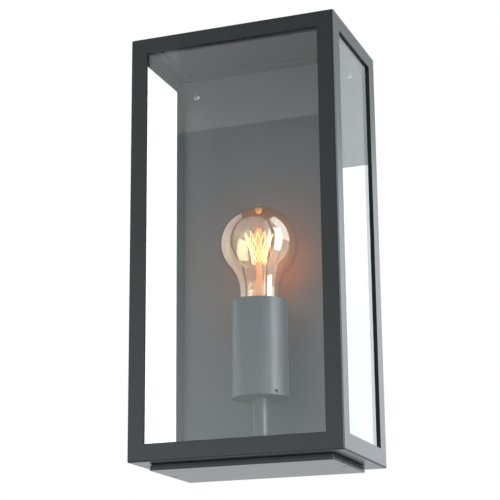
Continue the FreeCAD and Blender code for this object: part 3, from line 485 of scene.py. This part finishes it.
# Leads: two wires from inside the flare up past the stem's rod to the filament's ends.
leads_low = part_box("lead_wires")[0].z
lead_wire = 0.00022
rod_side, bend_start = 0.0046, 0.55
climb = np.linspace(0, 1, 33)[None, :]
ease_out = 0.5 - 0.5 * np.cos(math.pi * np.clip((climb - bend_start) / (1 - bend_start), 0, 1))
lead_radius = rod_side + (low_radius - rod_side) * ease_out
lead_height = leads_low + (low_hooks - leads_low) * climb
lead_lines = round_axis(lead_radius, lead_height, np.array([[end_gap], [-end_gap]]))
leads = wires("drawn_lead_wires", lead_lines, out_from_axis(lead_lines), lead_wire, sides=8)
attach(leads, "lamp")
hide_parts("lead_wires")
leads.data.materials.append(finish("copper_leads", (0.86, 0.50, 0.30), 0.3, metal=1.0, patch=700))

# ---- Lamp cap ----------------------------------------------------------------------------------------
# E27 screw cap drawn from thin plated brass, its thread rolled in as a rounded helix. A ring of black
# glass closes it below and carries the soldered foot contact.
cap_low, cap_high = map(np.array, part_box("lamp_cap"))
cap_pitch, cap_sheet = 0.0036, 0.0005
cap_radius = (cap_high[0] - cap_low[0]) / 2
crest, crest_run, plain_top, rim_drop, rim_run = 0.0007, 0.0012, 0.002, 0.0026, 0.0006
cap_rings, cap_steps = 111, 48
level = np.linspace(cap_low[2], cap_high[2], cap_rings)[:, None]
angle = np.linspace(0, 2 * math.pi, cap_steps, endpoint=False)[None, :]
# The outer wall carries a wave, a power of a raised cosine, which climbs one pitch in a turn and dies away
# towards the cap's ends. The inner wall is plain.
fade = np.clip((cap_high[2] - plain_top - level) / crest_run, 0, 1)
fade = fade * np.clip((level - cap_low[2]) / crest_run, 0, 1)
wave = crest * fade * (0.5 + 0.5 * np.cos(2 * math.pi * (level - cap_low[2]) / cap_pitch - angle)) ** 1.3
plain = cap_radius - crest + crest * np.clip((level - cap_high[2] + rim_drop) / rim_run, 0, 1) * 0.5
outer = plain + wave
inner = plain - cap_sheet + 0 * angle
ring = np.stack([np.cos(angle), np.sin(angle)], axis=-1)
walls = np.concatenate([outer, inner[::-1]])
heights = np.concatenate([level, level[::-1]]) + 0 * angle
cap_grid = np.concatenate([walls[..., None] * ring + lamp_axis, heights[..., None]], axis=-1)
lamp_cap = surface("rolled_screw_cap", cap_grid, around=True, closed=True)
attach(lamp_cap, "lamp")
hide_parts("lamp_cap")
lamp_cap.data.materials.append(finish("lamp_cap_plate", (0.74, 0.70, 0.60), 0.24, metal=1.0, patch=260))
dress(finish("black_cap_glass", (0.01, 0.01, 0.012), 0.2, patch=300), "cap_insulator")
dress(finish("solder", (0.66, 0.66, 0.64), 0.4, metal=1.0, patch=700), "foot_contact")

# ---- Cage --------------------------------------------------------------------------------------------
# Roof, corner posts and bottom frame of folded steel sheet, welded and powder coated in satin black-grey.
# Button-head screws under the rear edge and square nuts clamp the cage to the back plate.
powder_coat = finish("satin_powder_coat", (0.0090, 0.0117, 0.0127), 0.33, mottle=0.1, patch=26, grain=1700,
                     relief=0.08, height=0.00002, drift=0.04)
powder_coat.node_tree.nodes["Principled BSDF"].inputs["IOR"].default_value = 1.40
dress(powder_coat, "roof", "roof_flange", "front_left_post", "front_right_post", "rear_left_post",
      "rear_right_post", "left_glass_channel", "right_glass_channel", "bottom_frame", "glazing_beads")
blackened = finish("blackened_steel", (0.045, 0.046, 0.048), 0.35, metal=1.0, mottle=0.15, patch=300)
dress(blackened, "left_cage_screw", "right_cage_screw")
dress(zinc, "cage_nuts")

# ---- Panes -------------------------------------------------------------------------------------------
# Three panes of clear float glass, bedded in black foam tape. Channels on the rear posts, beads on the
# bottom flange and the flange under the roof hold them from inside.
pane = clear("float_glass", (0.99, 1.0, 0.995), (0.95, 0.985, 0.97), ripple=0.000004, spread=9)
dress(pane, "front_glass", "left_glass", "right_glass")
dress(foam, "front_tape", "side_tapes")

# ---- Bottom cover ------------------------------------------------------------------------------------
# A flat tray and liner in the cage's paint close the hole through which the lamp is changed. A rubber seal
# lies on them, and countersunk screws go up into zinc-plated rivet nuts in the bottom frame.
dress(powder_coat, "bottom_cover", "cover_liner")
dress(finish("black_rubber", (0.014, 0.014, 0.015), 0.7, patch=300, relief=0.4), "cover_seal")
dress(blackened, "left_cover_screw", "right_cover_screw")
dress(zinc, "cover_rivet_nuts")

# ---- Floor, light and camera -------------------------------------------------------------------------
# A pale floor well below the lantern, white surroundings and soft cards of light. The camera has a long
# lens and looks up at the lantern from in front and from its right.
cage_low, cage_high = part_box("bottom_frame")[0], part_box("roof")[1]
middle = (cage_low + cage_high) / 2
middle.y = (cage_low.y + cad_high.y) / 2
floor_mesh = bpy.data.meshes.new("floor")
reach, floor_level = 4.0, -0.9
corners = [(-reach, -reach), (reach, -reach), (reach, reach), (-reach, reach)]
floor_mesh.from_pydata([(x, y, floor_level) for x, y in corners], [], [(0, 1, 2, 3)])
floor = bpy.data.objects.new("floor", floor_mesh)
bpy.context.scene.collection.objects.link(floor)
floor_mesh.materials.append(finish("pale_floor", (0.74, 0.74, 0.74), 0.6, mottle=0.01, patch=1, grain=40))

world = bpy.data.worlds.new("studio")
bpy.context.scene.world = world
world.use_nodes = True
nodes, links = world.node_tree.nodes, world.node_tree.links
rays = nodes.new("ShaderNodeLightPath")
seen = nodes.new("ShaderNodeMath")
seen.operation = "MAXIMUM"
links.new(rays.outputs["Is Camera Ray"], seen.inputs[0])
links.new(rays.outputs["Is Transmission Ray"], seen.inputs[1])
# What a surface mirrors: near white all round, a little dimmer high up and low behind. In front it is
# bright low down, and darker but for its left. Seen directly or through glass, the surroundings are plain
# white, and they light dull surfaces at four fifths of that.
way = nodes.new("ShaderNodeTexCoord")
axes = nodes.new("ShaderNodeSeparateXYZ")
links.new(way.outputs["Generated"], axes.inputs[0])


def ramp(source, start, end, low, high):
    """A soft change from one level to another as a direction's part goes from start to end."""
    node = nodes.new("ShaderNodeMapRange")
    node.interpolation_type = "SMOOTHSTEP"
    for socket, value in zip(("From Min", "From Max", "To Min", "To Max"), (start, end, low, high)):
        node.inputs[socket].default_value = value
    links.new(source, node.inputs["Value"])
    return node.outputs["Result"]


def both(kind, one, other):
    """Two levels added or multiplied."""
    node = nodes.new("ShaderNodeMath")
    node.operation = kind
    links.new(one, node.inputs[0])
    links.new(other, node.inputs[1])
    return node.outputs[0]


in_front = ramp(axes.outputs["Y"], -0.8, -0.5, 1.0, 0.0)
low_glow = both("MULTIPLY", in_front, ramp(axes.outputs["Z"], 0.04, 0.36, 2.7, 0.0))
right_shade = both("MULTIPLY", in_front, ramp(axes.outputs["X"], -0.39, -0.26, 0.0, -0.9))
behind = ramp(axes.outputs["Y"], 0.0, 0.5, 0.0, 1.0)
low_shade = both("MULTIPLY", behind, ramp(axes.outputs["Z"], -0.15, 0.05, -0.38, 0.0))
high_shade = ramp(axes.outputs["Z"], 0.36, 0.52, 1.06, 0.92)
surround = both("ADD", both("ADD", high_shade, low_shade), both("ADD", low_glow, right_shade))
mirrored = nodes.new("ShaderNodeMix")
links.new(rays.outputs["Is Glossy Ray"], mirrored.inputs[0])
mirrored.inputs[2].default_value = 0.8
links.new(surround, mirrored.inputs[3])
strength = nodes.new("ShaderNodeMix")
links.new(seen.outputs[0], strength.inputs[0])
links.new(mirrored.outputs[0], strength.inputs[2])
strength.inputs[3].default_value = 1.0
background = nodes["Background"]
background.inputs["Color"].default_value = (1, 1, 1, 1)
links.new(strength.outputs[0], background.inputs["Strength"])
# Mirrored light is very slightly blue-green.
tone = nodes.new("ShaderNodeMix")
tone.data_type = "RGBA"
tone.inputs[6].default_value = (1, 1, 1, 1)
tone.inputs[7].default_value = (0.93, 1.0, 1.02, 1)
links.new(rays.outputs["Is Glossy Ray"], tone.inputs[0])
links.new(tone.outputs[2], background.inputs["Color"])


def card(name, centre, aim, wide, high, glare, colour=(1, 1, 1)):
    """A soft rectangular light that faces a point. Glare is its brightness as a mirror shows it, which is
    its energy over four times its area."""
    light = bpy.data.lights.new(name, "AREA")
    light.shape = "RECTANGLE"
    light.size, light.size_y, light.color = wide, high, colour
    light.energy = glare * wide * high * 4
    lamp = bpy.data.objects.new(name, light)
    bpy.context.scene.collection.objects.link(lamp)
    lamp.location = centre
    lamp.rotation_euler = (Vector(aim) - Vector(centre)).to_track_quat("-Z", "Y").to_euler()
    lamp.visible_camera = False
    return lamp


daylight = (0.94, 0.99, 1.05)
card("right_card", (2.0, 0.8, 1.6), middle, 2.3, 2.8, 1.8, daylight)
card("right_front_card", (1.9, -0.95, 0.0), middle, 1.5, 1.6, 1.6, daylight)
left = card("left_card", (-2.1, 0.7, 0.60), middle, 2.9, 2.1, 1.5, daylight)
left.visible_glossy = left.visible_transmission = False
sparkle = card("sparkle_card", (1.75, -0.60, 0.20), middle, 1.3, 2.1, 4.2, daylight)
sparkle.visible_diffuse = False
card("rear_right_card", (1.6, 2.5, 0.50), (1.6, 0.0, 0.50), 3.6, 0.915, 1.3, daylight)
card("rear_left_card", (-2.0, 2.5, 0.7), (-2.0, 0.0, 0.7), 3.0, 3.0, 0.6)
card("front_card", (-1.4, -2.6, 1.22), (-1.4, 0.0, 1.22), 2.6, 0.3, 0.5)

bpy.context.scene.view_settings.view_transform = "Standard"
turn, tilt, roll = math.radians(20.37), math.radians(15.73), math.radians(-0.57)
ahead = Vector((-math.sin(turn), math.cos(turn), 0))
right = Vector((math.cos(turn), math.sin(turn), 0))
up = Vector((0, 0, 1))
look = ahead * math.cos(tilt) + up * math.sin(tilt)
top = -ahead * math.sin(tilt) + up * math.cos(tilt)
right, top = (right * math.cos(roll) + top * math.sin(roll), -right * math.sin(roll) + top * math.cos(roll))
lens = bpy.data.cameras.new("camera")
lens.lens, lens.sensor_width = 113.2, 36.0
camera = bpy.data.objects.new("camera", lens)
distance, aside, lift = 1.2042, 0.00504, 0.00034
stand = middle - distance * look - aside * right + lift * top
camera.matrix_world = Matrix(((right.x, top.x, -look.x, stand.x), (right.y, top.y, -look.y, stand.y),
                              (right.z, top.z, -look.z, stand.z), (0, 0, 0, 1)))
bpy.context.scene.collection.objects.link(camera)
bpy.context.scene.camera = camera
